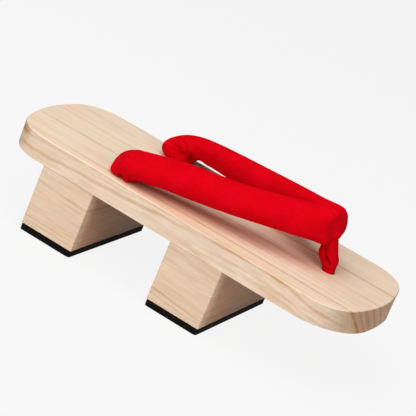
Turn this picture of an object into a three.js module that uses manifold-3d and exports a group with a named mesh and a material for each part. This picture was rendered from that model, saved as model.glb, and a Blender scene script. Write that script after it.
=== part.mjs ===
// Geta sandal: a flat wooden board on two wooden teeth with rubber treads, worn by a padded cloth thong.
// Millimetres. +X points to the toe, +Y to the wearer's left and +Z up.
// The origin is on the floor, under the middle of the board.
import * as THREE from 'three';
import { mergeVertices } from 'three/addons/utils/BufferGeometryUtils.js';
import Module from 'manifold-3d';

const wasm = await Module();
wasm.setup();

// Heights, from the floor up.
const TREAD_THICK = 4;
const TOOTH_HEIGHT = 38;
const BOARD_THICK = 15.25;
const BOARD_UNDER = TREAD_THICK + TOOTH_HEIGHT;
const BOARD_TOP = BOARD_UNDER + BOARD_THICK;

// The board in plan. Each end is a wide arc between two corner arcs, on top and underneath.
// The toe is rounder underneath than on top, so its wall slants in below the corners.
const BOARD_LENGTH = 240;
const EDGE_ROUND = 2;
const EDGE_STEPS = 4;
const CORNER_STEPS = 8;
const END_STEPS = 10;
const TOE_TOP = { half: 47, end: 100, corner: 23 };
const TOE_UNDER = { half: 46.8, end: 76, corner: 32 };
const HEEL_TOP = { half: 45.2, end: 100, corner: 24 };
const HEEL_UNDER = { half: 44.8, end: 94, corner: 24 };

// Teeth and treads share one footprint.
const TOOTH_LENGTH = 36;
const TOOTH_WIDTH = 89.6;
const FRONT_TOOTH_X = 20.85;
const REAR_TOOTH_X = -69.45;
const TOOTH_CORNER = 0.8;
const TREAD_CORNER = 2;

// The thong passes through three holes in the board and is knotted flat underneath.
const CLEARANCE = 0.3;
const REAR_HOLE_X = -44;
const REAR_HOLE_Y = 31.2;
const REAR_TAIL = 10.4;
const TOE_HOLE_X = 81;
const TOE_TAIL = 7.4;
const ROOT_HEIGHT = BOARD_TOP + 1;
const ROOT_X = REAR_HOLE_X + 1.2;
const ROOT_Y = REAR_HOLE_Y + 1.6;
const TAIL_RISE = 3;
const KNOT_THICK = 2.6;
const KNOT_OVERHANG = 1.6;
const ROUND_STEPS = 24;
const KNOT_STEPS = 8;

// One strap from its root over its hole to the nose, on the wearer's right. The other is its mirror image.
// wide and thick are the two diameters of the padded oval.
// lean, in degrees, tips the wide one up towards the middle.
const STRAP = [
  { x: ROOT_X, y: -ROOT_Y, z: ROOT_HEIGHT, wide: 15.6, thick: 15.6, lean: 0 },
  { x: -46, y: -31.4, z: 62.7, wide: 17.2, thick: 14, lean: 8 },
  { x: -42, y: -33.3, z: 66.9, wide: 19.9, thick: 12.4, lean: 16 },
  { x: -31.4, y: -34.4, z: 69.5, wide: 20.4, thick: 13.6, lean: 26 },
  { x: -9.2, y: -28.8, z: 72.8, wide: 20.7, thick: 14.8, lean: 37 },
  { x: 20.2, y: -23.2, z: 76.2, wide: 20.6, thick: 14.3, lean: 41 },
  { x: 45, y: -16.2, z: 79.6, wide: 21.2, thick: 13.7, lean: 47 },
  { x: 61.8, y: -9.8, z: 81.8, wide: 21.8, thick: 13.2, lean: 57 },
  { x: 73.4, y: -6.2, z: 83.1, wide: 21.5, thick: 14, lean: 75 },
];
const ROW_STEPS = 5;
const STRAP_SIDES = 24;
const NOSE_LENGTH = 3;
const NOSE_STEPS = 5;
const NOSE_BLUNTNESS = 2.5;
const NOSE_FLAT = 0.5;

// The toe loop is a narrow tube doubled over, with one leg behind the other.
// wide is across the board, and thick is along it.
const LOOP_LEGS = {
  rear: [
    { x: 79.9, y: 0, z: ROOT_HEIGHT, wide: 7, thick: 5.2, lean: 0 },
    { x: 77.4, y: 0, z: 62.2, wide: 8.8, thick: 6.2, lean: 0 },
    { x: 75.2, y: 0, z: 66, wide: 9.6, thick: 6.4, lean: 0 },
    { x: 73.9, y: 0, z: 71, wide: 9.4, thick: 6.2, lean: 0 },
    { x: 73.2, y: 0, z: 79, wide: 8.6, thick: 6, lean: 0 },
  ],
  front: [
    { x: 81.9, y: 0, z: ROOT_HEIGHT, wide: 7, thick: 5.2, lean: 0 },
    { x: 81.3, y: 0, z: 62.2, wide: 8.8, thick: 5.8, lean: 0 },
    { x: 80, y: 0, z: 66, wide: 9.6, thick: 5.8, lean: 0 },
    { x: 77.4, y: 0, z: 72, wide: 9.4, thick: 5.6, lean: 0 },
    { x: 74.4, y: 0, z: 80, wide: 8.6, thick: 5.4, lean: 0 },
  ],
};

const WOOD = { color: 0xe4c7a0, roughness: 0.6, metalness: 0 };
const RUBBER = { color: 0x161616, roughness: 0.85, metalness: 0 };
const CLOTH = { color: 0xd90b18, roughness: 0.9, metalness: 0 };

const ACROSS = new THREE.Vector3(0, 1, 0);
const UP = new THREE.Vector3(0, 0, 1);
const QUARTER = Math.PI / 2;
const FULL_TURN = Math.PI * 2;

// A closed skin over rings of equal count: neighbours are joined, and each end is closed to its middle.
function loft(rings) {
  const count = rings[0].length;
  const points = rings.flat();
  const index = [];
  for (let ring = 0; ring < rings.length - 1; ring++) {
    for (let i = 0; i < count; i++) {
      const a = ring * count + i;
      const b = ring * count + ((i + 1) % count);
      index.push(a, b, b + count, a, b + count, a + count);
    }
  }
  for (const [ring, facesBack] of [[0, true], [rings.length - 1, false]]) {
    const middle = points.length;
    const centre = new THREE.Vector3();
    rings[ring].forEach((point) => centre.addScaledVector(point, 1 / count));
    points.push(centre);
    for (let i = 0; i < count; i++) {
      const a = ring * count + i;
      const b = ring * count + ((i + 1) % count);
      index.push(...(facesBack ? [middle, b, a] : [middle, a, b]));
    }
  }
  const geometry = new THREE.BufferGeometry().setFromPoints(points);
  geometry.setIndex(index);
  return geometry;
}

function toSolid(geometry) {
  const bare = geometry.clone();
  bare.deleteAttribute('normal');
  bare.deleteAttribute('uv');
  const merged = mergeVertices(bare);
  const vertProperties = Float32Array.from(merged.attributes.position.array);
  const triVerts = Uint32Array.from(merged.index.array);
  return new wasm.Manifold(new wasm.Mesh({ numProp: 3, vertProperties, triVerts }));
}

function toGeometry(solid) {
  const mesh = solid.getMesh();
  const geometry = new THREE.BufferGeometry();
  const positions = Float32Array.from(mesh.vertProperties);
  geometry.setAttribute('position', new THREE.BufferAttribute(positions, 3));
  geometry.setIndex(Array.from(mesh.triVerts));
  return geometry;
}

// A round upright pin between two heights.
function pin(x, y, radius, low, high) {
  const geometry = new THREE.CylinderGeometry(radius, radius, high - low, ROUND_STEPS);
  geometry.rotateX(QUARTER);
  geometry.translate(x, y, (low + high) / 2);
  return toSolid(geometry);
}

// A tail from inside the root down through its hole, to a flat round knot just under the board.
function knottedTail(x, y, tail) {
  const radius = tail / 2 + KNOT_OVERHANG;
  const high = BOARD_TOP + TAIL_RISE;
  const middle = BOARD_UNDER - CLEARANCE - KNOT_THICK / 2;
  const geometry = new THREE.SphereGeometry(1, ROUND_STEPS, KNOT_STEPS);
  geometry.rotateX(QUARTER);
  geometry.scale(radius, radius, KNOT_THICK / 2);
  geometry.translate(x, y, middle);
  return toSolid(geometry).add(pin(x, y, tail / 2, middle, high));
}

// One end of the board in plan, drawn in by inset, from the corner at -Y round to the corner at +Y.
function endOutline(shape, inset) {
  const half = shape.half - inset;
  const end = shape.end - inset;
  const corner = shape.corner - inset;
  const endCentre = BOARD_LENGTH / 2 - shape.end;
  const offset = half - corner;
  const reach = Math.sqrt((end - corner) ** 2 - offset ** 2);
  const turn = Math.atan2(offset, reach);
  const points = [];
  const sweep = (x, y, radius, from, to, steps, first) => {
    for (let i = first; i <= steps; i++) {
      const angle = THREE.MathUtils.lerp(from, to, i / steps);
      points.push(new THREE.Vector2(x + radius * Math.cos(angle), y + radius * Math.sin(angle)));
    }
  };
  sweep(endCentre + reach, -offset, corner, -QUARTER, -turn, CORNER_STEPS, 0);
  sweep(endCentre, 0, end, -turn, turn, END_STEPS, 1);
  sweep(endCentre + reach, offset, corner, turn, QUARTER, CORNER_STEPS, 1);
  return points;
}

// The whole outline at one height: the heel is drawn as a toe and given half a turn.
function boardRing(z, inset) {
  const rise = (z - BOARD_UNDER) / BOARD_THICK;
  const blend = (under, top) => {
    const high = endOutline(top, inset);
    return endOutline(under, inset).map((point, i) => point.lerp(high[i], rise));
  };
  const toe = blend(TOE_UNDER, TOE_TOP);
  const heel = blend(HEEL_UNDER, HEEL_TOP).map((point) => point.negate());
  return [...toe, ...heel].map((point) => new THREE.Vector3(point.x, point.y, z));
}

function boardGeometry() {
  const rings = [];
  for (let i = 0; i <= EDGE_STEPS; i++) {
    const angle = (QUARTER * i) / EDGE_STEPS;
    const rise = EDGE_ROUND * (1 - Math.cos(angle));
    rings.push(boardRing(BOARD_UNDER + rise, EDGE_ROUND * (1 - Math.sin(angle))));
  }
  for (let i = 0; i <= EDGE_STEPS; i++) {
    const angle = (QUARTER * i) / EDGE_STEPS;
    const drop = EDGE_ROUND * (1 - Math.sin(angle));
    rings.push(boardRing(BOARD_TOP - drop, EDGE_ROUND * (1 - Math.cos(angle))));
  }
  const low = BOARD_UNDER - EDGE_ROUND;
  const high = BOARD_TOP + EDGE_ROUND;
  let solid = toSolid(loft(rings));
  for (const side of [-1, 1]) {
    const radius = REAR_TAIL / 2 + CLEARANCE;
    solid = solid.subtract(pin(REAR_HOLE_X, side * REAR_HOLE_Y, radius, low, high));
  }
  solid = solid.subtract(pin(TOE_HOLE_X, 0, TOE_TAIL / 2 + CLEARANCE, low, high));
  return toGeometry(solid);
}

// An upright block with rounded corners, from z = low upwards.
function blockGeometry(x, low, height, corner) {
  const halfLength = TOOTH_LENGTH / 2 - corner;
  const halfWidth = TOOTH_WIDTH / 2 - corner;
  const shape = new THREE.Shape();
  shape.absarc(x + halfLength, halfWidth, corner, 0, QUARTER);
  shape.absarc(x - halfLength, halfWidth, corner, QUARTER, 2 * QUARTER);
  shape.absarc(x - halfLength, -halfWidth, corner, 2 * QUARTER, 3 * QUARTER);
  shape.absarc(x + halfLength, -halfWidth, corner, 3 * QUARTER, FULL_TURN);
  const extrusion = { depth: height, bevelEnabled: false, curveSegments: EDGE_STEPS };
  const geometry = new THREE.ExtrudeGeometry(shape, extrusion);
  geometry.translate(0, 0, low);
  return geometry;
}

// A smooth value between the rows of a table, at a place counted in rows.
function between(rows, place, column) {
  const row = Math.min(Math.floor(place), rows.length - 2);
  const at = (i) => rows[THREE.MathUtils.clamp(i, 0, rows.length - 1)][column];
  const [a, b, c, d] = [at(row - 1), at(row), at(row + 1), at(row + 2)];
  const t = place - row;
  const bend = 2 * a - 5 * b + 4 * c - d;
  const twist = 3 * b - a - 3 * c + d;
  return 0.5 * (2 * b + (c - a) * t + bend * t ** 2 + twist * t ** 3);
}

// A padded tube through a table of ovals, level at its root and square to its path from the second row on.
// swell widens it all round, and blunt closes its far end softly.
function tubeRings(rows, swell, blunt) {
  const steps = (rows.length - 1) * ROW_STEPS;
  const stations = [];
  for (let i = 0; i <= steps; i++) {
    const read = (column) => between(rows, i / ROW_STEPS, column);
    stations.push({
      centre: new THREE.Vector3(read('x'), read('y'), read('z')),
      wide: read('wide') / 2 + swell,
      thick: read('thick') / 2 + swell,
      lean: THREE.MathUtils.degToRad(read('lean')),
    });
  }
  const rings = stations.map(({ centre, wide, thick, lean }, i) => {
    const before = stations[Math.max(i - 1, 0)].centre;
    const after = stations[Math.min(i + 1, steps)].centre;
    const path = after.clone().sub(before).normalize();
    const along = UP.clone().lerp(path, Math.min(i / ROW_STEPS, 1)).normalize();
    const side = ACROSS.clone().addScaledVector(along, -ACROSS.dot(along)).normalize();
    const out = along.clone().cross(side);
    return { centre, along, ring: ovalRing(centre, side, out, wide, thick, lean) };
  });
  const skin = rings.map(({ ring }) => ring);
  if (blunt) {
    const { centre, along, ring } = rings[steps];
    for (let i = 1; i <= NOSE_STEPS; i++) {
      const run = Math.sin((QUARTER * i) / (NOSE_STEPS + NOSE_FLAT));
      const shrink = (1 - run ** NOSE_BLUNTNESS) ** (1 / NOSE_BLUNTNESS);
      const middle = centre.clone().addScaledVector(along, run * (NOSE_LENGTH + swell));
      skin.push(ring.map((point) => point.clone().sub(centre).multiplyScalar(shrink).add(middle)));
    }
  }
  return skin;
}

function ovalRing(centre, side, out, wide, thick, lean) {
  const wideAxis = side.clone().multiplyScalar(Math.cos(lean)).addScaledVector(out, Math.sin(lean));
  const thickAxis = out.clone().multiplyScalar(Math.cos(lean)).addScaledVector(side, -Math.sin(lean));
  const ring = [];
  for (let i = 0; i < STRAP_SIDES; i++) {
    const angle = (FULL_TURN * i) / STRAP_SIDES;
    const point = centre.clone().addScaledVector(wideAxis, wide * Math.cos(angle));
    ring.push(point.addScaledVector(thickAxis, thick * Math.sin(angle)));
  }
  return ring;
}

// Both straps, joined where they meet at the nose.
function strapPair(swell) {
  const right = tubeRings(STRAP, swell, true);
  const left = right.map((ring) => ring.map(({ x, y, z }) => new THREE.Vector3(x, -y, z)).reverse());
  return toSolid(loft(right)).add(toSolid(loft(left)));
}

function strapsGeometry() {
  let solid = strapPair(0);
  for (const side of [-1, 1]) {
    solid = solid.add(knottedTail(REAR_HOLE_X, side * REAR_HOLE_Y, REAR_TAIL));
  }
  return toGeometry(solid);
}

// The loop's top is cut to the nose that it carries, a clearance away.
function toeLoopGeometry() {
  let solid = knottedTail(TOE_HOLE_X, 0, TOE_TAIL);
  for (const leg of Object.values(LOOP_LEGS)) {
    solid = solid.add(toSolid(loft(tubeRings(leg, 0, false))));
  }
  return toGeometry(solid.subtract(strapPair(CLEARANCE)));
}

function addPiece(name, geometry, look) {
  const bare = geometry.index ? geometry.toNonIndexed() : geometry;
  bare.computeVertexNormals();
  const piece = new THREE.Mesh(bare, new THREE.MeshStandardMaterial(look));
  piece.name = name;
  sandal.add(piece);
}

const sandal = new THREE.Group();
addPiece('board', boardGeometry(), WOOD);
for (const [place, x] of [['front', FRONT_TOOTH_X], ['rear', REAR_TOOTH_X]]) {
  addPiece(`${place}_tooth`, blockGeometry(x, TREAD_THICK, TOOTH_HEIGHT, TOOTH_CORNER), WOOD);
  addPiece(`${place}_tread`, blockGeometry(x, 0, TREAD_THICK, TREAD_CORNER), RUBBER);
}
addPiece('thong_straps', strapsGeometry(), CLOTH);
addPiece('toe_loop', toeLoopGeometry(), CLOTH);

export default sandal;
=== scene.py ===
# %% [markdown]
# # A geta sandal
#
# A geta is a flat wooden board that stands on two wooden teeth. A padded cloth thong holds it on the foot.
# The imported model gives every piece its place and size. This lesson rebuilds each piece with rounder
# edges, softer cloth and real finishes, in the same frame: metres, +X to the toe, +Z up.

import math

import bpy
import numpy as np
from mathutils import Matrix, Vector


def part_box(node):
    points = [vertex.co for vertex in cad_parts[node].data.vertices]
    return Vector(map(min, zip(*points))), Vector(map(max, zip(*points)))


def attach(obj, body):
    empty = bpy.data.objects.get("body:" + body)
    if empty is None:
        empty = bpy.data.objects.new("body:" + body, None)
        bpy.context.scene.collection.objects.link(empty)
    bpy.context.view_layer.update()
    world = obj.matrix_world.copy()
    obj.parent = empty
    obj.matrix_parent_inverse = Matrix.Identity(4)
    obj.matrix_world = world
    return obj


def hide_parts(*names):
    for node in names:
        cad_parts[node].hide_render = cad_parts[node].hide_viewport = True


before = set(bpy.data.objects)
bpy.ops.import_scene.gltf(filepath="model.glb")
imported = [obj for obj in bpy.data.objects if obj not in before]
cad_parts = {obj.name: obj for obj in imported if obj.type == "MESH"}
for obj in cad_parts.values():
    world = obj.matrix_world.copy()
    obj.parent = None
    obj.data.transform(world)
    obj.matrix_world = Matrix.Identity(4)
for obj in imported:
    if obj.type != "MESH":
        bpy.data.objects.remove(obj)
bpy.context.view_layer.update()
MM = 0.001
print("nodes", sorted(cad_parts))

# %% [markdown]
# ## The camera
#
# The sandal is seen from the side and a little above, through a long lens, with the camera tipped so that
# the toe points down to the right. Three angles, an aim and a distance say all of that. An empty that the
# camera tracks would also work, but it can't give the tip, so the camera's three axes are worked out here.

# %% Place the camera
VIEW_AZIMUTH = math.radians(20.80)
VIEW_HEIGHT = math.radians(20.72)
VIEW_TIP = math.radians(22.84)
VIEW_AIM = Vector((-0.8, 0.0, 53.0)) * MM
VIEW_DISTANCE = 1261.8 * MM
LENS_MM = 188.65
SENSOR_MM = 36.0

towards_camera = Vector((
    math.sin(VIEW_AZIMUTH) * math.cos(VIEW_HEIGHT),
    -math.cos(VIEW_AZIMUTH) * math.cos(VIEW_HEIGHT),
    math.sin(VIEW_HEIGHT),
))
level_right = Vector((math.cos(VIEW_AZIMUTH), math.sin(VIEW_AZIMUTH), 0.0))
level_up = towards_camera.cross(level_right)
camera_right = level_right * math.cos(VIEW_TIP) + level_up * math.sin(VIEW_TIP)
camera_up = towards_camera.cross(camera_right)

bpy.ops.object.select_all(action="DESELECT")
bpy.ops.object.camera_add()
camera = bpy.context.object
camera.name = "camera"
camera.data.lens = LENS_MM
camera.data.sensor_width = SENSOR_MM
turn = Matrix((camera_right, camera_up, towards_camera)).transposed().to_4x4()
camera.matrix_world = Matrix.Translation(VIEW_AIM + towards_camera * VIEW_DISTANCE) @ turn
bpy.context.scene.camera = camera
print("camera at", [round(value, 4) for value in camera.matrix_world.translation])

# %% [markdown]
# ## The studio
#
# The floor is a plain sheet that glows, so that it looks pale and even, as paper does in a studio. A glowing
# sheet would also light the sandal from below. So it is kept out of the light, and a second sheet, which the
# camera doesn't see, lies just under it and throws the lamps' light back up. A wide softbox hangs above the
# camera's side and a small one stands beyond the toe. The room is dim, so that the faces that look to the toe
# stay dark. The view transform is Standard, so that no film curve changes the colours.

# %% Lay the floor
FLOOR_SIDE = 8.0
SHEET_DROP = 0.5 * MM
WHITE = (1.0, 1.0, 1.0, 1.0)
FLOOR_GREY = (0.05, 0.05, 0.05, 1.0)
FLOOR_GLOW = 0.881
BOUNCE_GREY = (0.85, 0.85, 0.85, 1.0)
PAPER_ROUGHNESS = 0.9


def lay_sheet(name, drop, colour, glow):
    bpy.ops.object.select_all(action="DESELECT")
    bpy.ops.mesh.primitive_plane_add(size=FLOOR_SIDE, location=(0.0, 0.0, -drop))
    sheet = bpy.context.object
    sheet.name = name
    finish = bpy.data.materials.new(name + "_paper")
    finish.use_nodes = True
    shader = finish.node_tree.nodes["Principled BSDF"]
    shader.inputs["Base Color"].default_value = colour
    shader.inputs["Roughness"].default_value = PAPER_ROUGHNESS
    shader.inputs["Specular IOR Level"].default_value = 0.0
    shader.inputs["Emission Color"].default_value = WHITE
    shader.inputs["Emission Strength"].default_value = glow
    sheet.data.materials.append(finish)
    print(name, FLOOR_SIDE, "m")
    return sheet


floor = lay_sheet("floor", 0.0, FLOOR_GREY, FLOOR_GLOW)
floor.visible_diffuse = False
floor.visible_shadow = False
bounce = lay_sheet("bounce", SHEET_DROP, BOUNCE_GREY, 0.0)
bounce.visible_camera = False

# %% Hang the lights
ROOM_STRENGTH = 0.06
SOFTBOXES = (
    {"name": "overhead", "place": (-0.12, -0.45, 0.90), "aim": (0.0, 0.0, 0.05), "side": 1.4, "power": 16.2},
    {"name": "toe_side", "place": (1.15, -0.55, 0.80), "aim": (0.0, 0.0, 0.06), "side": 0.6, "power": 4.5},
)


def hang_softbox(name, place, aim, side, power):
    bpy.ops.object.light_add(type="AREA", location=place)
    lamp = bpy.context.object
    lamp.name = name
    lamp.rotation_euler = (Vector(aim) - Vector(place)).to_track_quat("-Z", "Y").to_euler()
    lamp.data.shape = "RECTANGLE"
    lamp.data.size = side
    lamp.data.size_y = side
    lamp.data.energy = power
    print(name, power, "W")


for softbox in SOFTBOXES:
    hang_softbox(**softbox)

room = bpy.data.worlds.new("room")
room.use_nodes = True
room.node_tree.nodes["Background"].inputs["Color"].default_value = WHITE
room.node_tree.nodes["Background"].inputs["Strength"].default_value = ROOM_STRENGTH
bpy.context.scene.world = room
bpy.context.scene.view_settings.view_transform = "Standard"
print("room strength", ROOM_STRENGTH)

# %% [markdown]
# ## Helpers
#
# An operator works on all that is selected, so each step first selects what it needs by its place. These
# few helpers start a piece, select by place and finish a piece, so that the cells stay short.

# %% Helpers for edit mode
NEAR = 0.02 * MM
ROUND_PROFILE = 0.5


def start_edit():
    bpy.ops.object.mode_set(mode="EDIT")
    bpy.ops.mesh.select_mode(type="VERT")


def end_edit():
    bpy.ops.object.mode_set(mode="OBJECT")


def pick_edges(piece, test):
    start_edit()
    bpy.ops.mesh.select_mode(type="EDGE")
    bpy.ops.mesh.select_all(action="DESELECT")
    end_edit()
    points = piece.data.vertices
    for edge in piece.data.edges:
        first, second = edge.vertices
        edge.select = test(points[first].co, points[second].co)
    bpy.ops.object.mode_set(mode="EDIT")


def round_edges(width, steps):
    bpy.ops.mesh.bevel(offset=width, segments=steps, profile=ROUND_PROFILE, affect="EDGES")


def outward_normals():
    bpy.ops.mesh.select_all(action="SELECT")
    bpy.ops.mesh.normals_make_consistent(inside=False)


print("points closer than", NEAR / MM, "mm count as one")

# %% Helpers that finish a piece
SHARP_ANGLE = math.radians(40.0)
FACE_WEIGHT = 80


def make_active(piece):
    bpy.ops.object.select_all(action="DESELECT")
    piece.select_set(True)
    bpy.context.view_layer.objects.active = piece


def apply_modifier(piece, kind, **settings):
    make_active(piece)
    modifier = piece.modifiers.new(kind.lower(), kind)
    for name, value in settings.items():
        setattr(modifier, name, value)
    bpy.ops.object.modifier_apply(modifier=modifier.name)


def smooth_faces(piece):
    make_active(piece)
    bpy.ops.object.shade_smooth_by_angle(angle=SHARP_ANGLE)
    apply_modifier(piece, "WEIGHTED_NORMAL", keep_sharp=True, weight=FACE_WEIGHT)


def place_piece(piece, name, node, finish):
    piece.name = name
    piece.data.name = name
    piece.data.materials.clear()
    piece.data.materials.append(finish)
    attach(piece, "root")
    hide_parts(node)
    print(name, "has", len(piece.data.polygons), "faces")


print("edges past", round(math.degrees(SHARP_ANGLE)), "degrees stay sharp")

# %% [markdown]
# ## Finishes: wood
#
# The wood is pale and straight grained, and its growth rings cut the surface as thin brown lines. One texture
# of rings round the middle of a log would do, but then no line can be moved to where the real one runs. Here
# each line is placed one by one, by its distance across the piece, and the wood between the lines is noise:
# long fibres, broader streaks, pale clouds and slow changes of hue. A face that looks along the fibres shows
# their cut ends, which are darker, so the ends get a colour of their own.

# %% Node helpers
# The Mix node has sockets for every kind of data, so those for colours are picked by number.
MIX_FACTOR = 0
MIX_FIRST = 6
MIX_SECOND = 7
MIX_RESULT = 2


def new_finish(name):
    finish = bpy.data.materials.new(name)
    finish.use_nodes = True
    return finish


def add(finish, kind, links=None, **settings):
    made = finish.node_tree.nodes.new(kind)
    for name, value in settings.items():
        setattr(made, name, value)
    for socket, source in (links or {}).items():
        if isinstance(source, bpy.types.NodeSocket):
            finish.node_tree.links.new(source, made.inputs[socket])
        else:
            made.inputs[socket].default_value = source
    return made


def calc(finish, operation, first, second=0.0, clamp=False):
    links = {0: first, 1: second}
    return add(finish, "ShaderNodeMath", links, operation=operation, use_clamp=clamp).outputs[0]


def between(finish, value, low, high, first, last):
    """The value, moved from the range low to high to the range first to last."""
    return add(finish, "ShaderNodeMapRange", {
        "Value": value, "From Min": low, "From Max": high, "To Min": first, "To Max": last,
    }).outputs[0]


def tint(finish, factor, first, second, blend="MIX"):
    links = {MIX_FACTOR: factor, MIX_FIRST: first, MIX_SECOND: second}
    return add(finish, "ShaderNodeMix", links, data_type="RGBA", blend_type=blend).outputs[MIX_RESULT]


def ramp(finish, factor, stops, blend="LINEAR"):
    made = add(finish, "ShaderNodeValToRGB", {"Fac": factor})
    made.color_ramp.interpolation = blend
    points = made.color_ramp.elements
    while len(points) < len(stops):
        points.new(0.5)
    for point, (place, colour) in zip(points, stops):
        point.position = place
        point.color = colour
    return made.outputs["Color"]


def parts_of(finish, vector):
    return add(finish, "ShaderNodeSeparateXYZ", {0: vector}).outputs


print("node helpers ready")

# %% Noise
# A kind of noise is its detail and its roughness.
SLOW = (1.5, 0.5)
SOFT = (2.0, 0.5)
FINE = (3.0, 0.6)
# Noise gathers round 0.5, so only a middle range of it is drawn out.
WIDE = (0.2, 0.8)
MIDDLE = (0.3, 0.7)
NARROW = (0.35, 0.65)


def blotches(finish, vector, stretch, kind):
    """Noise from 0 to 1, with stretch in cycles to the metre along each axis."""
    detail, roughness = kind
    scaled = add(finish, "ShaderNodeMapping", {"Vector": vector, "Scale": stretch})
    return add(finish, "ShaderNodeTexNoise", {
        "Vector": scaled.outputs[0], "Scale": 1.0, "Detail": detail, "Roughness": roughness,
    }).outputs["Fac"]


def wander(finish, vector, stretch, kind, drawn_out, reach):
    """A slow drift of up to reach either way."""
    return between(finish, blotches(finish, vector, stretch, kind), *drawn_out, -reach, reach)


print("noise is drawn out from", WIDE, MIDDLE, "or", NARROW)

# %% Lines, faces and spots
LINE_TAIL = 0.4
SPOT_FULL = 0.25


def grey(value):
    return (value, value, value, 1.0)


def ring_lines(finish, place, span, lines):
    """Brown lines at chosen places in mm, each crisp on one side and soft on the other.

    A line is its place, the reach of its soft side and its strength. A reach below 0 turns the line over.
    """
    low, high = span
    share = between(finish, place, low * MM, high * MM, 0.0, 1.0)
    stops = [(0.0, grey(0.0))]
    for middle, reach, strength in lines:
        for offset, level in ((-reach, 0.0), (0.0, strength), (reach * LINE_TAIL, 0.0)):
            stops.append(((middle + offset - low) / (high - low), grey(level)))
    return ramp(finish, share, sorted(stops, key=lambda stop: stop[0]), "EASE")


def facing(finish, coords, axis, span):
    """How far a face looks along an axis, from 0 to 1."""
    part = parts_of(finish, coords.outputs["Normal"])[axis]
    return between(finish, calc(finish, "ABSOLUTE", part), *span, 0.0, 1.0)


def distance_along(finish, coords, direction):
    return add(finish, "ShaderNodeVectorMath", {0: coords.outputs["Object"], 1: direction},
               operation="DOT_PRODUCT").outputs["Value"]


def spot(finish, place, middle, reach):
    """1 at a place in the wood, fading to 0 at its reach along each axis."""
    scaled = add(finish, "ShaderNodeVectorMath", {0: place, 1: middle}, operation="SUBTRACT").outputs[0]
    scaled = add(finish, "ShaderNodeVectorMath", {0: scaled, 1: reach}, operation="DIVIDE").outputs[0]
    far = add(finish, "ShaderNodeVectorMath", {0: scaled}, operation="LENGTH").outputs["Value"]
    return between(finish, far, SPOT_FULL, 1.0, 1.0, 0.0)


print("a line's soft side reaches", 1.0 / LINE_TAIL, "times as far as its crisp side")

# %% The tone of the wood
WARM = (1.03, 0.985, 0.965, 1.0)
COOL = (0.98, 1.010, 1.020, 1.0)
STREAK_RANGE = (0.32, 0.70)
STREAK_TONE = (-0.06, 0.14)
FIBRE_TONE = (-0.07, 0.10)
CLOUD_TONE = (-0.02, 0.07)
END_FACING = (0.45, 0.95)
# Towards this distance from the middle, end faces turn paler: painted light along the edge, partly a paler
# worn edge.
EDGE_LIGHT_AND_WEAR_TO = 46.0 * MM


def wood_tone(finish, moved, grain, fibre):
    """How much darker or paler each place is than the early wood, the ring lines apart."""
    strength = grain["strength"]
    streak = blotches(finish, moved, grain["streak"], FINE)
    cloud = blotches(finish, moved, grain["cloud"], SOFT)
    streaks = between(finish, streak, *STREAK_RANGE, STREAK_TONE[0] * strength, STREAK_TONE[1] * strength)
    fibres = between(finish, fibre, *MIDDLE, FIBRE_TONE[0] * strength, FIBRE_TONE[1] * strength)
    tone = calc(finish, "ADD", streaks, fibres)
    return calc(finish, "ADD", tone, between(finish, cloud, *NARROW, *CLOUD_TONE))


def wood_hue(finish, moved, grain):
    hue = between(finish, blotches(finish, moved, grain["hue"], SOFT), *MIDDLE, 0.0, 1.0)
    return tint(finish, hue, WARM, COOL)


def cut_ends(finish, coords, colour, colours):
    """The same colour, darker where a face shows the cut ends of the fibres, and less so at its corners."""
    across = calc(finish, "ABSOLUTE", parts_of(finish, coords.outputs["Object"])["Y"])
    # Near its corners an end face is less dark: a painted highlight along the edge, and partly a paler worn
    # edge.
    share = between(finish, across, colours["edge_light_and_wear_from"], EDGE_LIGHT_AND_WEAR_TO, 1.0, colours["edge_light_and_wear"])
    share = calc(finish, "MULTIPLY", facing(finish, coords, "X", END_FACING), share)
    return tint(finish, share, colour, tint(finish, 1.0, colour, colours["end"], "MULTIPLY"))


print("streaks are", STREAK_TONE, "and fibres", FIBRE_TONE, "darker than the early wood")

# %% The wood
LINE_FADE = (0.45, 1.15)
WOOD_ROUGHNESS = (0.52, 0.70)
WOOD_SPECULAR = 0.25
FIBRE_RELIEF = 0.2
FIBRE_DEPTH = 0.10 * MM


def wood(name, colours, figure, grain, cast=None):
    """Pale wood whose ring lines come from figure, a helper that returns how dark each place is.

    A cast is a helper that returns a colour to multiply by, for a painted reflection and for wood that is
    browner than the rest.
    """
    finish = new_finish(name)
    shader = finish.node_tree.nodes["Principled BSDF"]
    coords = add(finish, "ShaderNodeTexCoord")
    links = {"Vector": coords.outputs["Object"], "Location": grain["shift"]}
    moved = add(finish, "ShaderNodeMapping", links).outputs[0]

    fade = between(finish, blotches(finish, moved, grain["fade"], SOFT), *NARROW, *LINE_FADE)
    line = calc(finish, "MULTIPLY", figure(finish, coords, moved), fade)
    fibre = blotches(finish, moved, grain["fibre"], FINE)
    dark = calc(finish, "ADD", line, wood_tone(finish, moved, grain, fibre), clamp=True)
    colour = tint(finish, dark, colours["early"], colours["late"])
    colour = tint(finish, 1.0, colour, wood_hue(finish, moved, grain), "MULTIPLY")
    if cast:
        colour = tint(finish, 1.0, colour, cast(finish, coords), "MULTIPLY")
    colour = cut_ends(finish, coords, colour, colours)
    finish.node_tree.links.new(colour, shader.inputs["Base Color"])

    gloss = between(finish, dark, 0.0, 1.0, *WOOD_ROUGHNESS)
    finish.node_tree.links.new(gloss, shader.inputs["Roughness"])
    shader.inputs["Specular IOR Level"].default_value = WOOD_SPECULAR
    height = calc(finish, "ADD", fibre, line)
    links = {"Height": height, "Strength": FIBRE_RELIEF, "Distance": FIBRE_DEPTH}
    finish.node_tree.links.new(add(finish, "ShaderNodeBump", links).outputs[0], shader.inputs["Normal"])
    print(name, "has", len(finish.node_tree.nodes), "nodes")
    return finish
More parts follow.
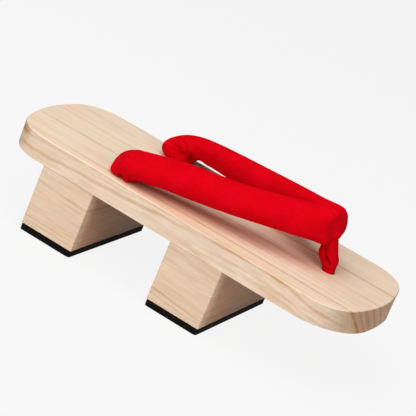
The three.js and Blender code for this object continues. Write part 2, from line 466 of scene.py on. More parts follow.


# %% [markdown]
# The board was sawn so that its rings show as long lines on top and lean across its ends. On its two sides
# the same rings show as one low arch that climbs slowly from the heel and drops away at the toe. Both sets of
# lines are listed one by one, and so is a brown patch at each corner of the heel.

# %% The board's colours and lines
BOARD_COLOURS = {
    "early": (0.83, 0.678, 0.530, 1.0), "late": (0.50, 0.23, 0.06, 1.0), "end": (0.60, 0.455, 0.335, 1.0),
    "edge_light_and_wear_from": 38.0 * MM, "edge_light_and_wear": 0.5,
}
BOARD_GRAIN = {
    "shift": (0.0, 0.0, 0.0), "fade": (16.0, 70.0, 70.0), "fibre": (50.0, 760.0, 760.0),
    "streak": (11.0, 230.0, 230.0), "cloud": (26.0, 60.0, 60.0), "hue": (34.0, 110.0, 110.0), "strength": 1.0,
}
TOP_LINES = (
    (-37.3, 2.2, 0.46), (-31.0, 1.6, 0.14), (-25.0, 2.4, 0.34), (-17.5, 1.6, 0.14),
    (-9.0, 2.2, 0.44), (4.0, 1.8, 0.12), (13.6, 3.4, 0.52),
)
END_LINES = (
    (-37.3, 3.0, 0.80), (-31.0, 2.6, 0.46), (-25.0, 4.0, 0.62), (-17.5, 3.4, 0.50), (-9.0, 3.4, 0.56),
    (-2.0, 3.0, 0.30), (4.0, 3.4, 0.46), (13.6, 4.4, 0.60), (27.0, 4.0, 0.40), (38.0, 4.0, 0.30),
)
SIDE_LINES = (
    (46.8, -2.0, 0.10), (50.4, -1.8, 0.14), (53.8, -1.6, 0.10), (57.2, -8.0, 0.40), (60.4, -1.6, 0.18),
    (64.2, -2.2, 0.26), (67.0, -2.0, 0.12),
)
# A dark line just under the top rim of the sides: painted shade, not a ring.
ARRIS_SHADE_LINES = ((55.9, -1.3, 0.26),)
print("lines placed by hand on the board:", len(TOP_LINES + END_LINES + SIDE_LINES + ARRIS_SHADE_LINES))

# %% The board's top and ends
RING_SPAN = (-60.0, 60.0)
RING_LEAN = 0.93
TOP_ACROSS = (-0.024, 1.0, RING_LEAN)
RING_DRIFT_STRETCH = (3.0, 14.0, 20.0)
RING_DRIFT = 2.2 * MM
HEEL_LINE_SHARE = 0.6
HEEL_LINE_RUN = (-90.0 * MM, 50.0 * MM)
END_LINES_FACING = (0.5, 0.8)

board_low, board_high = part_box("board")


def top_and_ends(finish, coords, parts, moved):
    ring = distance_along(finish, coords, TOP_ACROSS)
    ring = calc(finish, "SUBTRACT", ring, RING_LEAN * board_high.z)
    ring = calc(finish, "ADD", ring, wander(finish, moved, RING_DRIFT_STRETCH, SLOW, WIDE, RING_DRIFT))
    top = ring_lines(finish, ring, RING_SPAN, TOP_LINES)
    top = calc(finish, "MULTIPLY", top, between(finish, parts["X"], *HEEL_LINE_RUN, HEEL_LINE_SHARE, 1.0))
    ends = ring_lines(finish, ring, RING_SPAN, END_LINES)
    return tint(finish, facing(finish, coords, "X", END_LINES_FACING), top, ends)


print("the rings lean", round(math.degrees(math.atan(RING_LEAN))), "degrees across the ends")

# %% The board's sides
SIDE_SPAN = (40.0, 75.0)
ARCH_TOP = 55.0 * MM
ARCH_RISE = 0.065
ARCH_DROP = 3.3
RIPPLE_STRETCH = (40.0, 10.0, 60.0)
RIPPLE = 0.8 * MM
FLAME_GAIN = 1.7
FLAME_RUN = (30.0 * MM, 80.0 * MM)
MOTTLE_STRETCH = (90.0, 60.0, 330.0)
# The range lies wholly above 0, so besides the mottle the sides come out darker than the top: painted shade.
MOTTLE_AND_SIDE_SHADE = (0.01, 0.25)


def arch(finish, parts):
    """Height above a ring that climbs to its top near the toe and then drops away."""
    run = calc(finish, "SUBTRACT", parts["X"], ARCH_TOP)
    rise = calc(finish, "MULTIPLY", calc(finish, "MINIMUM", run, 0.0), ARCH_RISE)
    past = calc(finish, "MAXIMUM", run, 0.0)
    drop = calc(finish, "MULTIPLY", calc(finish, "MULTIPLY", past, past), ARCH_DROP)
    return calc(finish, "ADD", calc(finish, "SUBTRACT", parts["Z"], rise), drop)


def sides(finish, parts, moved):
    ripple = wander(finish, moved, RIPPLE_STRETCH, SOFT, MIDDLE, RIPPLE)
    height = calc(finish, "ADD", arch(finish, parts), ripple)
    rings = ring_lines(finish, height, SIDE_SPAN, SIDE_LINES)
    rings = calc(finish, "MULTIPLY", rings, between(finish, parts["X"], *FLAME_RUN, 1.0, FLAME_GAIN))
    # A dark line just under the top rim of each side is painted shade, where the light turns over the edge.
    arris_shade = ring_lines(finish, parts["Z"], SIDE_SPAN, ARRIS_SHADE_LINES)
    # The mottle is the wood's own, but its range also darkens each side against the top: painted shade.
    mottle_and_shade = between(finish, blotches(finish, moved, MOTTLE_STRETCH, FINE), *MIDDLE, *MOTTLE_AND_SIDE_SHADE)
    return calc(finish, "ADD", calc(finish, "ADD", rings, arris_shade), mottle_and_shade)


print("the side's arch is highest", round(ARCH_TOP / MM), "mm from the middle")

# %% The board's heel corners and its whole figure
HEEL_PATCH = Vector((-108.2, 39.7, 54.2)) * MM
HEEL_PATCH_REACH = Vector((9.0, 9.0, 3.6)) * MM
HEEL_PATCH_DEPTH = 0.9
HEEL_PATCH_FACING = (0.3, 0.6)
SIDE_FACING = (0.5, 0.85)


def heel_patch(finish, coords, parts):
    """A brown patch on the wall at both heel corners, which one mirrored place gives."""
    mirrored = add(finish, "ShaderNodeCombineXYZ", {
        "X": parts["X"], "Y": calc(finish, "ABSOLUTE", parts["Y"]), "Z": parts["Z"],
    }).outputs[0]
    patch = spot(finish, mirrored, HEEL_PATCH, HEEL_PATCH_REACH)
    top = facing(finish, coords, "Z", HEEL_PATCH_FACING)
    return calc(finish, "MULTIPLY", patch, between(finish, top, 0.0, 1.0, HEEL_PATCH_DEPTH, 0.0))


def board_figure(finish, coords, moved):
    parts = parts_of(finish, coords.outputs["Object"])
    top = top_and_ends(finish, coords, parts, moved)
    line = tint(finish, facing(finish, coords, "Y", SIDE_FACING), top, sides(finish, parts, moved))
    return calc(finish, "ADD", line, heel_patch(finish, coords, parts))


print("heel patch at", [round(value / MM, 1) for value in HEEL_PATCH])

# %% [markdown]
# Under each strap a soft pink band is painted into the board's top. It is a painted reflection of the red
# light that the cloth throws down onto the wood. The top is also a little browner along one edge and at the
# toe.
# These casts are too broad and soft to be lines or noise, so they are laid over the grain by place.

# %% The painted reflection and the tones of colour on the board's top
# The middle line of a strap, as x, y and z in mm. The other strap is its mirror.
STRAP_MIDDLE = ((-46.0, 31.0, 64.0), (-31.0, 34.4, 69.5), (20.0, 23.2, 76.2), (73.0, 6.2, 83.1))
PAINTED_RED_REFLECTION = (1.0, 0.82, 0.76, 1.0)
PAINTED_REFLECTION_SIDE = (5.0 * MM, 17.0 * MM)
PAINTED_REFLECTION_RUN = 22.0 * MM
BROWNER = (
    (Vector((28.0, -48.0, 57.0)) * MM, Vector((92.0, 36.0, 40.0)) * MM, (0.91, 0.865, 0.795, 1.0)),
    (Vector((98.0, -8.0, 57.0)) * MM, Vector((44.0, 30.0, 40.0)) * MM, (0.93, 0.92, 0.91, 1.0)),
)
TOP_FACING = (0.5, 0.9)


def reflection_under_straps(finish, parts):
    """1 under the middle line of either strap, fading to 0 beside it and past its ends."""
    rear, front = (Vector(STRAP_MIDDLE[row]) * MM for row in (1, -1))
    strap = between(finish, parts["X"], rear.x, front.x, rear.y, front.y)
    gap = calc(finish, "SUBTRACT", calc(finish, "ABSOLUTE", parts["Y"]), strap)
    share = between(finish, calc(finish, "ABSOLUTE", gap), *PAINTED_REFLECTION_SIDE, 1.0, 0.0)
    behind = between(finish, parts["X"], rear.x - PAINTED_REFLECTION_RUN, rear.x, 0.0, 1.0)
    ahead = between(finish, parts["X"], front.x, front.x + PAINTED_REFLECTION_RUN, 1.0, 0.0)
    return calc(finish, "MULTIPLY", calc(finish, "MULTIPLY", share, behind), ahead)


def board_reflection_and_tones(finish, coords):
    place = coords.outputs["Object"]
    # The pink band is painted reflection: red light from the cloth, painted onto the wood under each strap.
    cast = tint(finish, reflection_under_straps(finish, parts_of(finish, place)), WHITE, PAINTED_RED_REFLECTION)
    for middle, reach, colour in BROWNER:
        browner = tint(finish, 1.0, cast, colour, "MULTIPLY")
        cast = tint(finish, spot(finish, place, middle, reach), cast, browner)
    return tint(finish, facing(finish, coords, "Z", TOP_FACING), WHITE, cast)


board_wood = wood("board_wood", BOARD_COLOURS, board_figure, BOARD_GRAIN, board_reflection_and_tones)

# %% [markdown]
# The teeth are sawn from other pieces of the same wood, with their rings lying almost level. A little lean of
# its own keeps one tooth from looking like a copy of the other.

# %% The teeth's figure
TOOTH_COLOURS = {
    "early": (0.745, 0.565, 0.405, 1.0), "late": (0.42, 0.22, 0.10, 1.0), "end": (0.58, 0.42, 0.295, 1.0),
    "edge_light_and_wear_from": 34.0 * MM, "edge_light_and_wear": 0.25,
}
TOOTH_GRAIN = {
    "fade": (40.0, 30.0, 70.0), "fibre": (75.0, 50.0, 800.0), "streak": (26.0, 18.0, 300.0),
    "cloud": (50.0, 40.0, 90.0), "hue": (60.0, 50.0, 130.0), "strength": 1.3,
}
FRONT_GRAIN = dict(TOOTH_GRAIN, shift=(0.31, 0.0, 0.0))
FRONT_LINES = (
    (8.0, 1.2, 0.30), (11.0, 1.8, 0.38), (17.0, 1.5, 0.08), (25.0, 2.0, 0.08), (31.0, 1.6, 0.10),
    (39.0, 4.0, 0.34), (43.0, 3.0, 0.30),
)
FRONT_ACROSS = (0.10, 0.03, 1.0)
REAR_GRAIN = dict(TOOTH_GRAIN, shift=(0.57, 0.0, 0.02))
REAR_LINES = (
    (3.2, 1.0, 0.30), (6.0, 1.2, 0.34), (13.0, 1.5, 0.08), (19.0, 1.5, 0.16), (24.6, 1.4, 0.30),
    (28.2, 1.6, 0.42), (34.0, 1.6, 0.20), (38.5, 1.5, 0.28),
)
REAR_ACROSS = (0.03, 0.04, 1.0)
TOOTH_SPAN = (-10.0, 60.0)
TOOTH_DRIFT_STRETCH = (14.0, 9.0, 40.0)
TOOTH_DRIFT = 1.6 * MM


def tooth_figure(across, lines):
    def figure(finish, coords, moved):
        drift = wander(finish, moved, TOOTH_DRIFT_STRETCH, SLOW, WIDE, TOOTH_DRIFT)
        ring = calc(finish, "ADD", distance_along(finish, coords, across), drift)
        return ring_lines(finish, ring, TOOTH_SPAN, lines)
    return figure


front_figure = tooth_figure(FRONT_ACROSS, FRONT_LINES)
rear_figure = tooth_figure(REAR_ACROSS, REAR_LINES)
front_tooth_wood = wood("front_tooth_wood", TOOTH_COLOURS, front_figure, FRONT_GRAIN)
rear_tooth_wood = wood("rear_tooth_wood", TOOTH_COLOURS, rear_figure, REAR_GRAIN)

# %% [markdown]
# ## Finishes: rubber and cloth
#
# The treads are matt black rubber with a fine speckle. The thong is plain red cotton. Its threads are finer
# than a pixel of the picture, but a bump that follows the strap gives the dull, close nap of real cloth.

# %% The rubber
SPECKLE = (3.0, 0.7)
SPECKLE_STRETCH = (900.0, 900.0, 900.0)
RUBBER_STOPS = ((0.35, (0.002, 0.002, 0.002, 1.0)), (0.75, (0.012, 0.009, 0.007, 1.0)))
RUBBER_ROUGHNESS = 0.8
RUBBER_SPECULAR = 0.06
RUBBER_RELIEF = 0.4
RUBBER_DEPTH = 0.2 * MM


def tread_rubber():
    finish = new_finish("tread_rubber")
    shader = finish.node_tree.nodes["Principled BSDF"]
    place = add(finish, "ShaderNodeTexCoord").outputs["Object"]
    speckle = blotches(finish, place, SPECKLE_STRETCH, SPECKLE)
    finish.node_tree.links.new(ramp(finish, speckle, RUBBER_STOPS), shader.inputs["Base Color"])
    shader.inputs["Roughness"].default_value = RUBBER_ROUGHNESS
    shader.inputs["Specular IOR Level"].default_value = RUBBER_SPECULAR
    links = {"Height": speckle, "Strength": RUBBER_RELIEF, "Distance": RUBBER_DEPTH}
    finish.node_tree.links.new(add(finish, "ShaderNodeBump", links).outputs[0], shader.inputs["Normal"])
    print(finish.name, "has", len(finish.node_tree.nodes), "nodes")
    return finish


rubber = tread_rubber()

# %% The cotton
CLOUDY = (3.0, 0.5)
CLOUDY_STRETCH = (90.0, 90.0, 90.0)
NAP = (2.0, 0.7)
NAP_STRETCH = (1600.0, 1600.0, 1600.0)
NAP_SHARE = 0.5
RED_STOPS = ((0.45, (0.53, 0.0004, 0.004, 1.0)), (1.0, (0.67, 0.0006, 0.008, 1.0)))
COTTON_ROUGHNESS = 0.95
COTTON_SPECULAR = 0.02
THREAD_SCALE = 900.0
THREAD_WOBBLE = 0.4
COTTON_RELIEF = 0.35
COTTON_DEPTH = 0.10 * MM


def threads(finish, direction):
    weave = add(finish, "ShaderNodeAttribute", attribute_name="weave").outputs["Vector"]
    links = {"Vector": weave, "Scale": THREAD_SCALE, "Distortion": THREAD_WOBBLE}
    bands = add(finish, "ShaderNodeTexWave", links, wave_type="BANDS", bands_direction=direction)
    return bands.outputs["Fac"]


def thong_cotton():
    finish = new_finish("thong_cotton")
    shader = finish.node_tree.nodes["Principled BSDF"]
    place = add(finish, "ShaderNodeTexCoord").outputs["Object"]
    nap = blotches(finish, place, NAP_STRETCH, NAP)
    mixed = calc(finish, "ADD", calc(finish, "MULTIPLY", nap, NAP_SHARE),
                 blotches(finish, place, CLOUDY_STRETCH, CLOUDY))
    finish.node_tree.links.new(ramp(finish, mixed, RED_STOPS), shader.inputs["Base Color"])
    shader.inputs["Roughness"].default_value = COTTON_ROUGHNESS
    shader.inputs["Specular IOR Level"].default_value = COTTON_SPECULAR
    weave = calc(finish, "MULTIPLY", threads(finish, "X"), threads(finish, "Y"))
    height = calc(finish, "ADD", weave, nap)
    links = {"Height": height, "Strength": COTTON_RELIEF, "Distance": COTTON_DEPTH}
    finish.node_tree.links.new(add(finish, "ShaderNodeBump", links).outputs[0], shader.inputs["Normal"])
    print(finish.name, "has", len(finish.node_tree.nodes), "nodes")
    return finish


cotton = thong_cotton()

# %% [markdown]
# ## The board
#
# Seen from above, each end of the board is a wide arc between two corner arcs. An outline is easiest to
# draw as a carpenter scribes it: one point is spun round the middle of each arc in turn, and pulled
# straight along the sides. The toe is rounder underneath than on top, so two outlines are drawn and
# bridged, which gives the slanting wall of the toe. Then the rims are rounded and the thong's holes cut.

# %% Draw the two outlines
CORNER_STEPS = 14
END_STEPS = 24
TOE_TOP = {"half": 47.0 * MM, "end": 100.0 * MM, "corner": 23.0 * MM}
TOE_UNDER = {"half": 45.2 * MM, "end": 139.0 * MM, "corner": 34.7 * MM}
HEEL_TOP = {"half": 45.2 * MM, "end": 100.0 * MM, "corner": 24.0 * MM}
HEEL_UNDER = {"half": 44.8 * MM, "end": 94.0 * MM, "corner": 24.0 * MM}


def end_arcs(shape, tip):
    """The x of the end arc's middle, the x of the corner arcs' middles, and half the angle of the end arc."""
    across = shape["half"] - shape["corner"]
    reach = math.sqrt((shape["end"] - shape["corner"]) ** 2 - across ** 2)
    return tip - shape["end"], tip - shape["end"] + reach, math.atan2(across, reach)


def add_point(place):
    bpy.ops.mesh.select_all(action="DESELECT")
    bpy.ops.mesh.primitive_plane_add(size=MM, location=place)
    bpy.ops.mesh.merge(type="CENTER")


def spin_point(steps, angle, x, y, z):
    bpy.ops.mesh.spin(steps=steps, angle=-angle, center=(x, y, z), axis=(0.0, 0.0, 1.0))


def pull_point(step):
    bpy.ops.mesh.extrude_region_move(TRANSFORM_OT_translate={"value": step})


def draw_outline(toe, heel, height):
    toe_middle, toe_corner, toe_turn = end_arcs(toe, board_high.x)
    heel_middle, heel_corner, heel_turn = end_arcs(heel, -board_low.x)
    toe_side = toe["half"] - toe["corner"]
    heel_side = heel["half"] - heel["corner"]
    quarter = math.pi / 2
    add_point((toe_corner, -toe["half"], height))
    spin_point(CORNER_STEPS, quarter - toe_turn, toe_corner, -toe_side, height)
    spin_point(END_STEPS, 2 * toe_turn, toe_middle, 0.0, height)
    spin_point(CORNER_STEPS, quarter - toe_turn, toe_corner, toe_side, height)
    pull_point((-heel_corner - toe_corner, heel["half"] - toe["half"], 0.0))
    spin_point(CORNER_STEPS, quarter - heel_turn, -heel_corner, heel_side, height)
    spin_point(END_STEPS, 2 * heel_turn, -heel_middle, 0.0, height)
    spin_point(CORNER_STEPS, quarter - heel_turn, -heel_corner, -heel_side, height)
    pull_point((heel_corner + toe_corner, heel["half"] - toe["half"], 0.0))


bpy.ops.object.select_all(action="DESELECT")
bpy.ops.mesh.primitive_plane_add(size=MM)
board = bpy.context.object
start_edit()
bpy.ops.mesh.delete(type="VERT")
draw_outline(TOE_TOP, HEEL_TOP, board_high.z)
draw_outline(TOE_UNDER, HEEL_UNDER, board_low.z)
bpy.ops.mesh.select_all(action="SELECT")
bpy.ops.mesh.remove_doubles(threshold=NEAR)
end_edit()
print("outline points", len(board.data.vertices))

# %% Bridge the outlines and round the rims
TOP_ROUND = 0.9 * MM
UNDER_ROUND = 0.4 * MM
RIM_STEPS = 5

start_edit()
bpy.ops.mesh.select_mode(type="EDGE")
bpy.ops.mesh.select_all(action="SELECT")
bpy.ops.mesh.bridge_edge_loops()
bpy.ops.mesh.select_all(action="SELECT")
bpy.ops.mesh.fill_holes(sides=0)
outward_normals()
end_edit()
for rim, rounding in ((board_high.z, TOP_ROUND), (board_low.z, UNDER_ROUND)):
    pick_edges(board, lambda first, second: max(abs(first.z - rim), abs(second.z - rim)) < NEAR)
    round_edges(rounding, RIM_STEPS)
    outward_normals()
    end_edit()
print("board box", [round(side / MM, 2) for side in board.dimensions])

# %% Cut the three holes
# A hole is its place and the width of the cloth tail that goes down it.
HOLES = (
    {"x": -44.0 * MM, "y": 31.2 * MM, "tail": 10.4 * MM},
    {"x": -44.0 * MM, "y": -31.2 * MM, "tail": 10.4 * MM},
    {"x": 81.0 * MM, "y": 0.0, "tail": 7.4 * MM},
)
CLEARANCE = 0.3 * MM
DRILL_LENGTH = 40.0 * MM
HOLE_SIDES = 48
HOLE_EASE = 0.5 * MM
HOLE_STEPS = 2


def cut_hole(piece, x, y, tail):
    radius = tail / 2 + CLEARANCE
    middle = (board_low.z + board_high.z) / 2
    bpy.ops.object.select_all(action="DESELECT")
    bpy.ops.mesh.primitive_cylinder_add(vertices=HOLE_SIDES, radius=radius, depth=DRILL_LENGTH,
                                        location=(x, y, middle))
    drill = bpy.context.object
    apply_modifier(piece, "BOOLEAN", object=drill, operation="DIFFERENCE", solver="EXACT")
    bpy.data.objects.remove(drill)
    centre = Vector((x, y))
    reach = radius + NEAR
    pick_edges(piece, lambda first, second: abs(first.z - second.z) < NEAR
               and (first.xy - centre).length < reach and (second.xy - centre).length < reach)
    round_edges(HOLE_EASE, HOLE_STEPS)
    end_edit()


for hole in HOLES:
    cut_hole(board, **hole)
smooth_faces(board)
place_piece(board, "geta_board", "board", board_wood)

# %% [markdown]
# ## The teeth
#
# Each tooth is a plain block of the same wood, sawn square and eased a little along its edges, so that the
# light catches them. A bevelled cube is right here, because the real block has nothing more.

# %% Saw the two teeth
TOOTH_EASE = 0.7 * MM
TOOTH_STEPS = 3


def block(low, high):
    bpy.ops.object.select_all(action="DESELECT")
    bpy.ops.mesh.primitive_cube_add(size=1.0)
    made = bpy.context.object
    start_edit()
    bpy.ops.mesh.select_all(action="SELECT")
    bpy.ops.transform.resize(value=high - low)
    bpy.ops.transform.translate(value=(low + high) / 2)
    end_edit()
    return made


def saw_tooth(name, node, finish):
    low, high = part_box(node)
    tooth = block(low, high)
    pick_edges(tooth, lambda first, second: min(first.z, second.z) < high.z - NEAR)
    round_edges(TOOTH_EASE, TOOTH_STEPS)
    outward_normals()
    end_edit()
    smooth_faces(tooth)
    place_piece(tooth, name, node, finish)


saw_tooth("geta_front_tooth", "front_tooth", front_tooth_wood)
saw_tooth("geta_rear_tooth", "rear_tooth", rear_tooth_wood)

# %% [markdown]
# ## The treads
#
# A sheet of rubber is glued under each tooth and trimmed flush. Its corners are cut round. It starts as a
# block too: first its upright edges are bevelled for the round corners, and then its rims, just enough to
# catch the light.

# %% Cut the two treads
TREAD_CORNER = 2.0 * MM
TREAD_CORNER_STEPS = 6
TREAD_EASE = 0.35 * MM
TREAD_EASE_STEPS = 2


def cut_tread(name, node):
    low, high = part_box(node)
    tread = block(low, high)
    pick_edges(tread, lambda first, second: abs(first.z - second.z) > NEAR)
    round_edges(TREAD_CORNER, TREAD_CORNER_STEPS)
    end_edit()
    pick_edges(tread, lambda first, second: abs(first.z - second.z) < NEAR)
    round_edges(TREAD_EASE, TREAD_EASE_STEPS)
    outward_normals()
    end_edit()
    smooth_faces(tread)
    place_piece(tread, name, node, rubber)


cut_tread("geta_front_tread", "front_tread")
cut_tread("geta_rear_tread", "rear_tread")

# %% [markdown]
# ## The thong
#
# The thong is two stuffed tubes of cotton that run from the rear holes to one nose over the toe hole.
# Stuffed cloth is best made by letting cloth swell: the solid is copied, remeshed into even faces,
# smoothed and blown up a little by the cloth simulation. Its creases are then pressed in one by one.
# The two strap ends leave a groove where they meet, so two balls of stuffing are put in it before the remesh.

# %% Copy the straps from the solid
STRAP_VOXEL = 1.2 * MM
STRAP_ROUNDS = 8
SMOOTH_SHARE = 0.5
BALL_SEGMENTS = 32
BALL_RINGS = 16
# A ball of stuffing is its place and its size along each axis.
NOSE_STUFFING = (
    (Vector((70.0, 0.0, 83.2)) * MM, Vector((15.2, 20.0, 19.0)) * MM),
    (Vector((74.4, 0.5, 78.4)) * MM, Vector((11.0, 14.0, 9.0)) * MM),
)


def cloth_copy(node):
    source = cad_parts[node]
    bpy.ops.object.select_all(action="DESELECT")
    copied = bpy.data.objects.new(node + "_cloth", source.data.copy())
    bpy.context.scene.collection.objects.link(copied)
    make_active(copied)
    start_edit()
    bpy.ops.mesh.select_all(action="SELECT")
    bpy.ops.mesh.remove_doubles(threshold=NEAR)
    end_edit()
    return copied


def add_stuffing(place, size):
    start_edit()
    bpy.ops.mesh.select_all(action="DESELECT")
    bpy.ops.mesh.primitive_uv_sphere_add(segments=BALL_SEGMENTS, ring_count=BALL_RINGS, radius=0.5,
                                         location=place)
    bpy.ops.transform.resize(value=size, center_override=place)
    end_edit()


def even_faces(piece, voxel, rounds):
    apply_modifier(piece, "REMESH", mode="VOXEL", voxel_size=voxel)
    apply_modifier(piece, "SMOOTH", factor=SMOOTH_SHARE, iterations=rounds)
    print(piece.name, "remeshed to", len(piece.data.vertices), "points")


straps = cloth_copy("thong_straps")
for ball_place, ball_size in NOSE_STUFFING:
    add_stuffing(ball_place, ball_size)
even_faces(straps, STRAP_VOXEL, STRAP_ROUNDS)


# %% Helpers that read and set a piece's points
def points_of(piece):
    flat = np.empty(len(piece.data.vertices) * 3)
    piece.data.vertices.foreach_get("co", flat)
    return flat.reshape(-1, 3)


def normals_of(piece):
    flat = np.empty(len(piece.data.vertices) * 3)
    piece.data.vertices.foreach_get("normal", flat)
    return flat.reshape(-1, 3)


def set_points(piece, points):
    piece.data.vertices.foreach_set("co", points.ravel())
    piece.data.update()


print("straps reach from", points_of(straps).min(axis=0) / MM, "to", points_of(straps).max(axis=0) / MM, "mm")

# %% Swell the straps
HELD_BELOW = board_high.z + 2.0 * MM
SWELL_PRESSURE = 4.0
SWELL_LIMIT = 0.8 * MM
SWELL_FRAMES = 20
CLOTH_QUALITY = 6
POINT_MASS = 0.0004
TINY = 1e-9


def swell(piece):
    """Blows a piece up as cloth, with its points near the board held and no point moved past a limit."""
    rest = points_of(piece)
    group = piece.vertex_groups.new(name="held")
    group.add(np.flatnonzero(rest[:, 2] < HELD_BELOW).tolist(), 1.0, "REPLACE")
    cloth = piece.modifiers.new("swell", "CLOTH")
    cloth.settings.vertex_group_mass = "held"
    cloth.settings.mass = POINT_MASS
    cloth.settings.quality = CLOTH_QUALITY
    cloth.settings.use_pressure = True
    cloth.settings.uniform_pressure_force = SWELL_PRESSURE
    cloth.settings.effector_weights.gravity = 0.0
    cloth.collision_settings.use_collision = False
    cloth.point_cache.frame_start = 1
    cloth.point_cache.frame_end = SWELL_FRAMES
    for number in range(1, SWELL_FRAMES + 1):
        bpy.context.scene.frame_set(number)
    swollen = piece.evaluated_get(bpy.context.evaluated_depsgraph_get())
    moved = np.empty(len(rest) * 3)
    swollen.data.vertices.foreach_get("co", moved)
    step = moved.reshape(-1, 3) - rest
    far = np.linalg.norm(step, axis=1, keepdims=True)
    print("cloth moved", round(float(far.mean()) / MM, 3), "mm, at most", round(float(far.max()) / MM, 3))
    piece.modifiers.remove(cloth)
    bpy.context.scene.frame_set(1)
    set_points(piece, rest + step * np.minimum(1.0, SWELL_LIMIT / np.maximum(far, TINY)))
    piece.vertex_groups.clear()


swell(straps)
print("straps", len(straps.data.vertices), "points")

# %% [markdown]
# The remesh leaves a sharp rim round each strap's blunt end, and a groove where the two ends meet. On the
# sandal they are sewn into one soft lump, so the points there are smoothed much more than the rest.
# Smoothing always shrinks a shape a little, so the cloth is then let out again along its normals.

# %% Soften the nose and let the cloth out
NOSE_START = 64.0 * MM
NOSE_FULL = 70.0 * MM
NOSE_ROUNDS = 30
LET_OUT = 0.4 * MM
LET_OUT_RISE = 4.0 * MM
LEAST_WEIGHT = 0.01


def soften(piece, weights, rounds):
    group = piece.vertex_groups.new(name="soft")
    for index in np.flatnonzero(weights > LEAST_WEIGHT):
        group.add([int(index)], float(weights[index]), "REPLACE")
    apply_modifier(piece, "SMOOTH", factor=SMOOTH_SHARE, iterations=rounds, vertex_group="soft")
    piece.vertex_groups.clear()


def let_out(piece, amount):
    points = points_of(piece)
    above = np.clip((points[:, 2] - board_high.z) / LET_OUT_RISE, 0.0, 1.0)
    set_points(piece, points + normals_of(piece) * (amount * above)[:, None])


forward = points_of(straps)[:, 0]
soften(straps, np.clip((forward - NOSE_START) / (NOSE_FULL - NOSE_START), 0.0, 1.0), NOSE_ROUNDS)
let_out(straps, LET_OUT)
print("cloth let out by", LET_OUT / MM, "mm")

# %% [markdown]
# A stuffed strap never keeps the plain form that it was cut to. It sags between its ends, bulges where it
# turns down into its hole and is drawn in at the nose. Each of these is one pull: a place, how far its pull
# is felt and a step, all in the sandal's own millimetres. The pulls for the straps are written for the
# wearer's right one and mirrored for the other. The nose is a little askew, so its two pulls aren't mirrored.

# %% Pull the straps into shape
MIRROR = np.array((1.0, -1.0, 1.0))
STRAP_PULLS = (
    ((20.0, -20.0, 78.0), 90.0, (0.0, 0.0, -0.45)),
    ((-50.0, -37.5, 68.0), 10.0, (2.7, 0.8, -1.0)),
    ((-48.5, -38.5, 60.0), 7.0, (-0.4, -1.6, -0.6)),
    ((-37.0, -38.0, 58.5), 7.0, (1.9, -1.7, -0.2)),
    ((-50.0, -24.5, 63.5), 8.0, (-1.3, 1.2, 0.1)),
    ((-31.5, -30.0, 63.5), 8.0, (0.0, 0.0, 2.0)),
    ((-18.0, -27.0, 66.0), 16.0, (0.0, 0.0, 0.9)),
    ((76.0, -11.0, 76.5), 8.0, (1.2, -0.8, -0.5)),
)
NOSE_PULLS = (
    ((78.0, -10.0, 83.0), 11.0, (-2.6, 0.8, 0.0)),
    ((77.0, 10.0, 75.0), 9.0, (-1.3, -0.2, 0.4)),
)


def pull(piece, moves, mirror=1.0):
    """Moves the points near a place together, as a hand pulls cloth, and less the further off they are."""
    points = points_of(piece)
    for place, reach, step in moves:
        gap = np.linalg.norm(points - np.array(place) * mirror * MM, axis=1) / (reach * MM)
        weight = np.clip(1.0 - gap ** 2, 0.0, 1.0) ** 2
        points = points + weight[:, None] * np.array(step) * mirror * MM
    set_points(piece, points)


for mirror in (1.0, MIRROR):
    pull(straps, STRAP_PULLS, mirror)
pull(straps, NOSE_PULLS)
apply_modifier(straps, "SUBSURF", levels=1, render_levels=1)
nose_tip = float(points_of(straps)[:, 0].max())
print("straps", len(straps.data.vertices), "points, reaching x", round(nose_tip / MM, 2))

# %% [markdown]
# Cloth that is pulled round a tight bend folds on the inside of it, and cloth that goes down a small hole
# gathers at its rim. Each crease here is a soft trough along a short line, with a low ridge on either side,
# listed in the sandal's own millimetres: its line, its width and its depth. The lines at the bend and
# at the root are for the wearer's right strap and are mirrored. Those at the nose are on one side only.

# %% Press the creases
BEND_PLEATS = (
    (((-34.9, -25.6, 66.2), (-34.1, -27.8, 64.9), (-34.7, -32.8, 62.4)), 1.3, 1.7),
    (((-35.4, -25.8, 66.4), (-37.3, -24.0, 68.9), (-40.0, -24.2, 71.2), (-42.9, -25.4, 72.5)), 0.9, 1.0),
    (((-36.2, -26.6, 65.6), (-40.8, -23.3, 66.8), (-46.1, -23.0, 67.2), (-48.9, -23.3, 67.1)), 0.9, 0.8),
    (((-37.3, -28.0, 64.2), (-39.6, -25.4, 64.7), (-42.0, -24.4, 64.6), (-46.4, -22.3, 65.1)), 0.9, 0.8),
    (((-33.4, -26.6, 66.5), (-32.8, -24.9, 72.0)), 1.0, 0.5),
    (((-36.2, -30.1, 61.0), (-34.7, -34.0, 60.8)), 1.2, 1.0),
)
ROOT_FOLDS = (
    (((-44.3, -42.1, 63.1), (-43.3, -41.9, 67.5), (-42.4, -39.8, 71.2)), 0.6, 1.3),
    (((-42.1, -39.5, 59.0), (-41.4, -40.4, 60.4)), 1.3, 1.6),
    (((-36.8, -41.2, 60.2), (-36.4, -42.0, 61.8)), 1.1, 1.2),
    (((-35.2, -39.0, 58.6), (-34.7, -39.6, 59.8)), 1.2, 1.5),
    (((-38.9, -41.0, 58.8), (-38.4, -41.4, 59.8)), 1.0, 1.0),
    (((-44.9, -41.7, 60.4), (-44.3, -42.0, 61.4)), 0.8, 0.6),
)
NOSE_FOLDS = (
    (((70.2, -6.2, 92.6), (72.9, -6.6, 91.7)), 1.3, 0.8),
    (((75.0, -5.2, 88.6), (76.0, -2.8, 85.5), (76.5, -1.5, 82.2)), 1.4, 0.3),
)
RIDGE_SHARE = 0.35
RIDGE_PLACE = 2.0


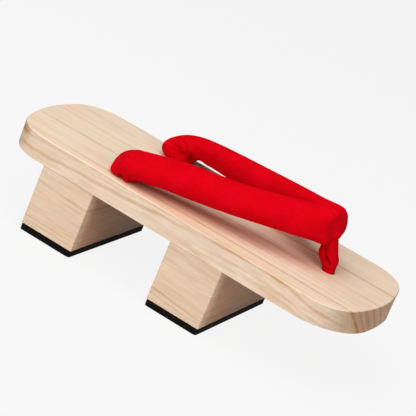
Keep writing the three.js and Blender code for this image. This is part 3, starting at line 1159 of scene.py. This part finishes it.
def gap_to_line(points, line):
    nearest = np.full(len(points), np.inf)
    for start, end in zip(line[:-1], line[1:]):
        run = end - start
        share = np.clip((points - start) @ run / (run @ run), 0.0, 1.0)
        nearest = np.minimum(nearest, np.linalg.norm(points - start - share[:, None] * run, axis=1))
    return nearest


def press(piece, folds, mirror=1.0):
    points = points_of(piece)
    push = np.zeros(len(points))
    for line, width, depth in folds:
        gap = gap_to_line(points, np.array(line) * mirror * MM) / (width * MM)
        push -= depth * MM * np.exp(-gap ** 2)
        push += RIDGE_SHARE * depth * MM * np.exp(-(gap - RIDGE_PLACE) ** 2)
    set_points(piece, points + normals_of(piece) * push[:, None])


for mirror in (1.0, MIRROR):
    press(straps, BEND_PLEATS + ROOT_FOLDS, mirror)
press(straps, NOSE_FOLDS)
print("pressed", 2 * len(BEND_PLEATS + ROOT_FOLDS) + len(NOSE_FOLDS), "creases")

# %% [markdown]
# The threads of the cloth run along each strap and round it. Every point is told how far along and how far
# round it lies, as an attribute that the cotton reads, because a remeshed piece has no UV map to follow.

# %% Lay the weave along the straps
STRAP_RADIUS = 9.0 * MM


def lay_weave(piece):
    points = points_of(piece)
    along = points[:, 0]
    side = np.abs(points[:, 1])
    middle_x, middle_y, middle_z = np.array(STRAP_MIDDLE).T * MM
    out = side - np.interp(along, middle_x, middle_y)
    down = np.interp(along, middle_x, middle_z) - points[:, 2]
    around = np.arctan2(out, down) * STRAP_RADIUS
    weave = piece.data.attributes.new("weave", "FLOAT_VECTOR", "POINT")
    weave.data.foreach_set("vector", np.stack([along, around, np.zeros_like(along)], axis=1).ravel())


lay_weave(straps)
make_active(straps)
bpy.ops.object.shade_smooth()
place_piece(straps, "geta_straps", "thong_straps", cotton)

# %% [markdown]
# ## The toe loop
#
# A small folded tube of the same cotton hangs from the nose, passes down between the toes and through the
# front hole. It is copied from its solid with finer faces, because it is only a finger's breadth wide.

# %% Copy the toe loop
LOOP_VOXEL = 0.6 * MM
LOOP_ROUNDS = 5
LOOP_PULLS = (
    ((73.4, -3.5, 65.5), 5.0, (-0.8, 0.0, 0.0)),
)
LOOP_SLIT = (
    (((75.4, -4.5, 69.6), (77.4, -4.1, 66.3), (79.3, -4.2, 64.4)), 0.7, 1.2),
    (((78.6, -4.2, 65.2), (81.2, -4.2, 62.6)), 1.0, 2.0),
)

toe_loop = cloth_copy("toe_loop")
even_faces(toe_loop, LOOP_VOXEL, LOOP_ROUNDS)
apply_modifier(toe_loop, "SUBSURF", levels=1, render_levels=1)
for mirror in (1.0, MIRROR):
    pull(toe_loop, LOOP_PULLS, mirror)
    press(toe_loop, LOOP_SLIT, mirror)
lay_weave(toe_loop)
make_active(toe_loop)
bpy.ops.object.shade_smooth()
place_piece(toe_loop, "geta_toe_loop", "toe_loop", cotton)
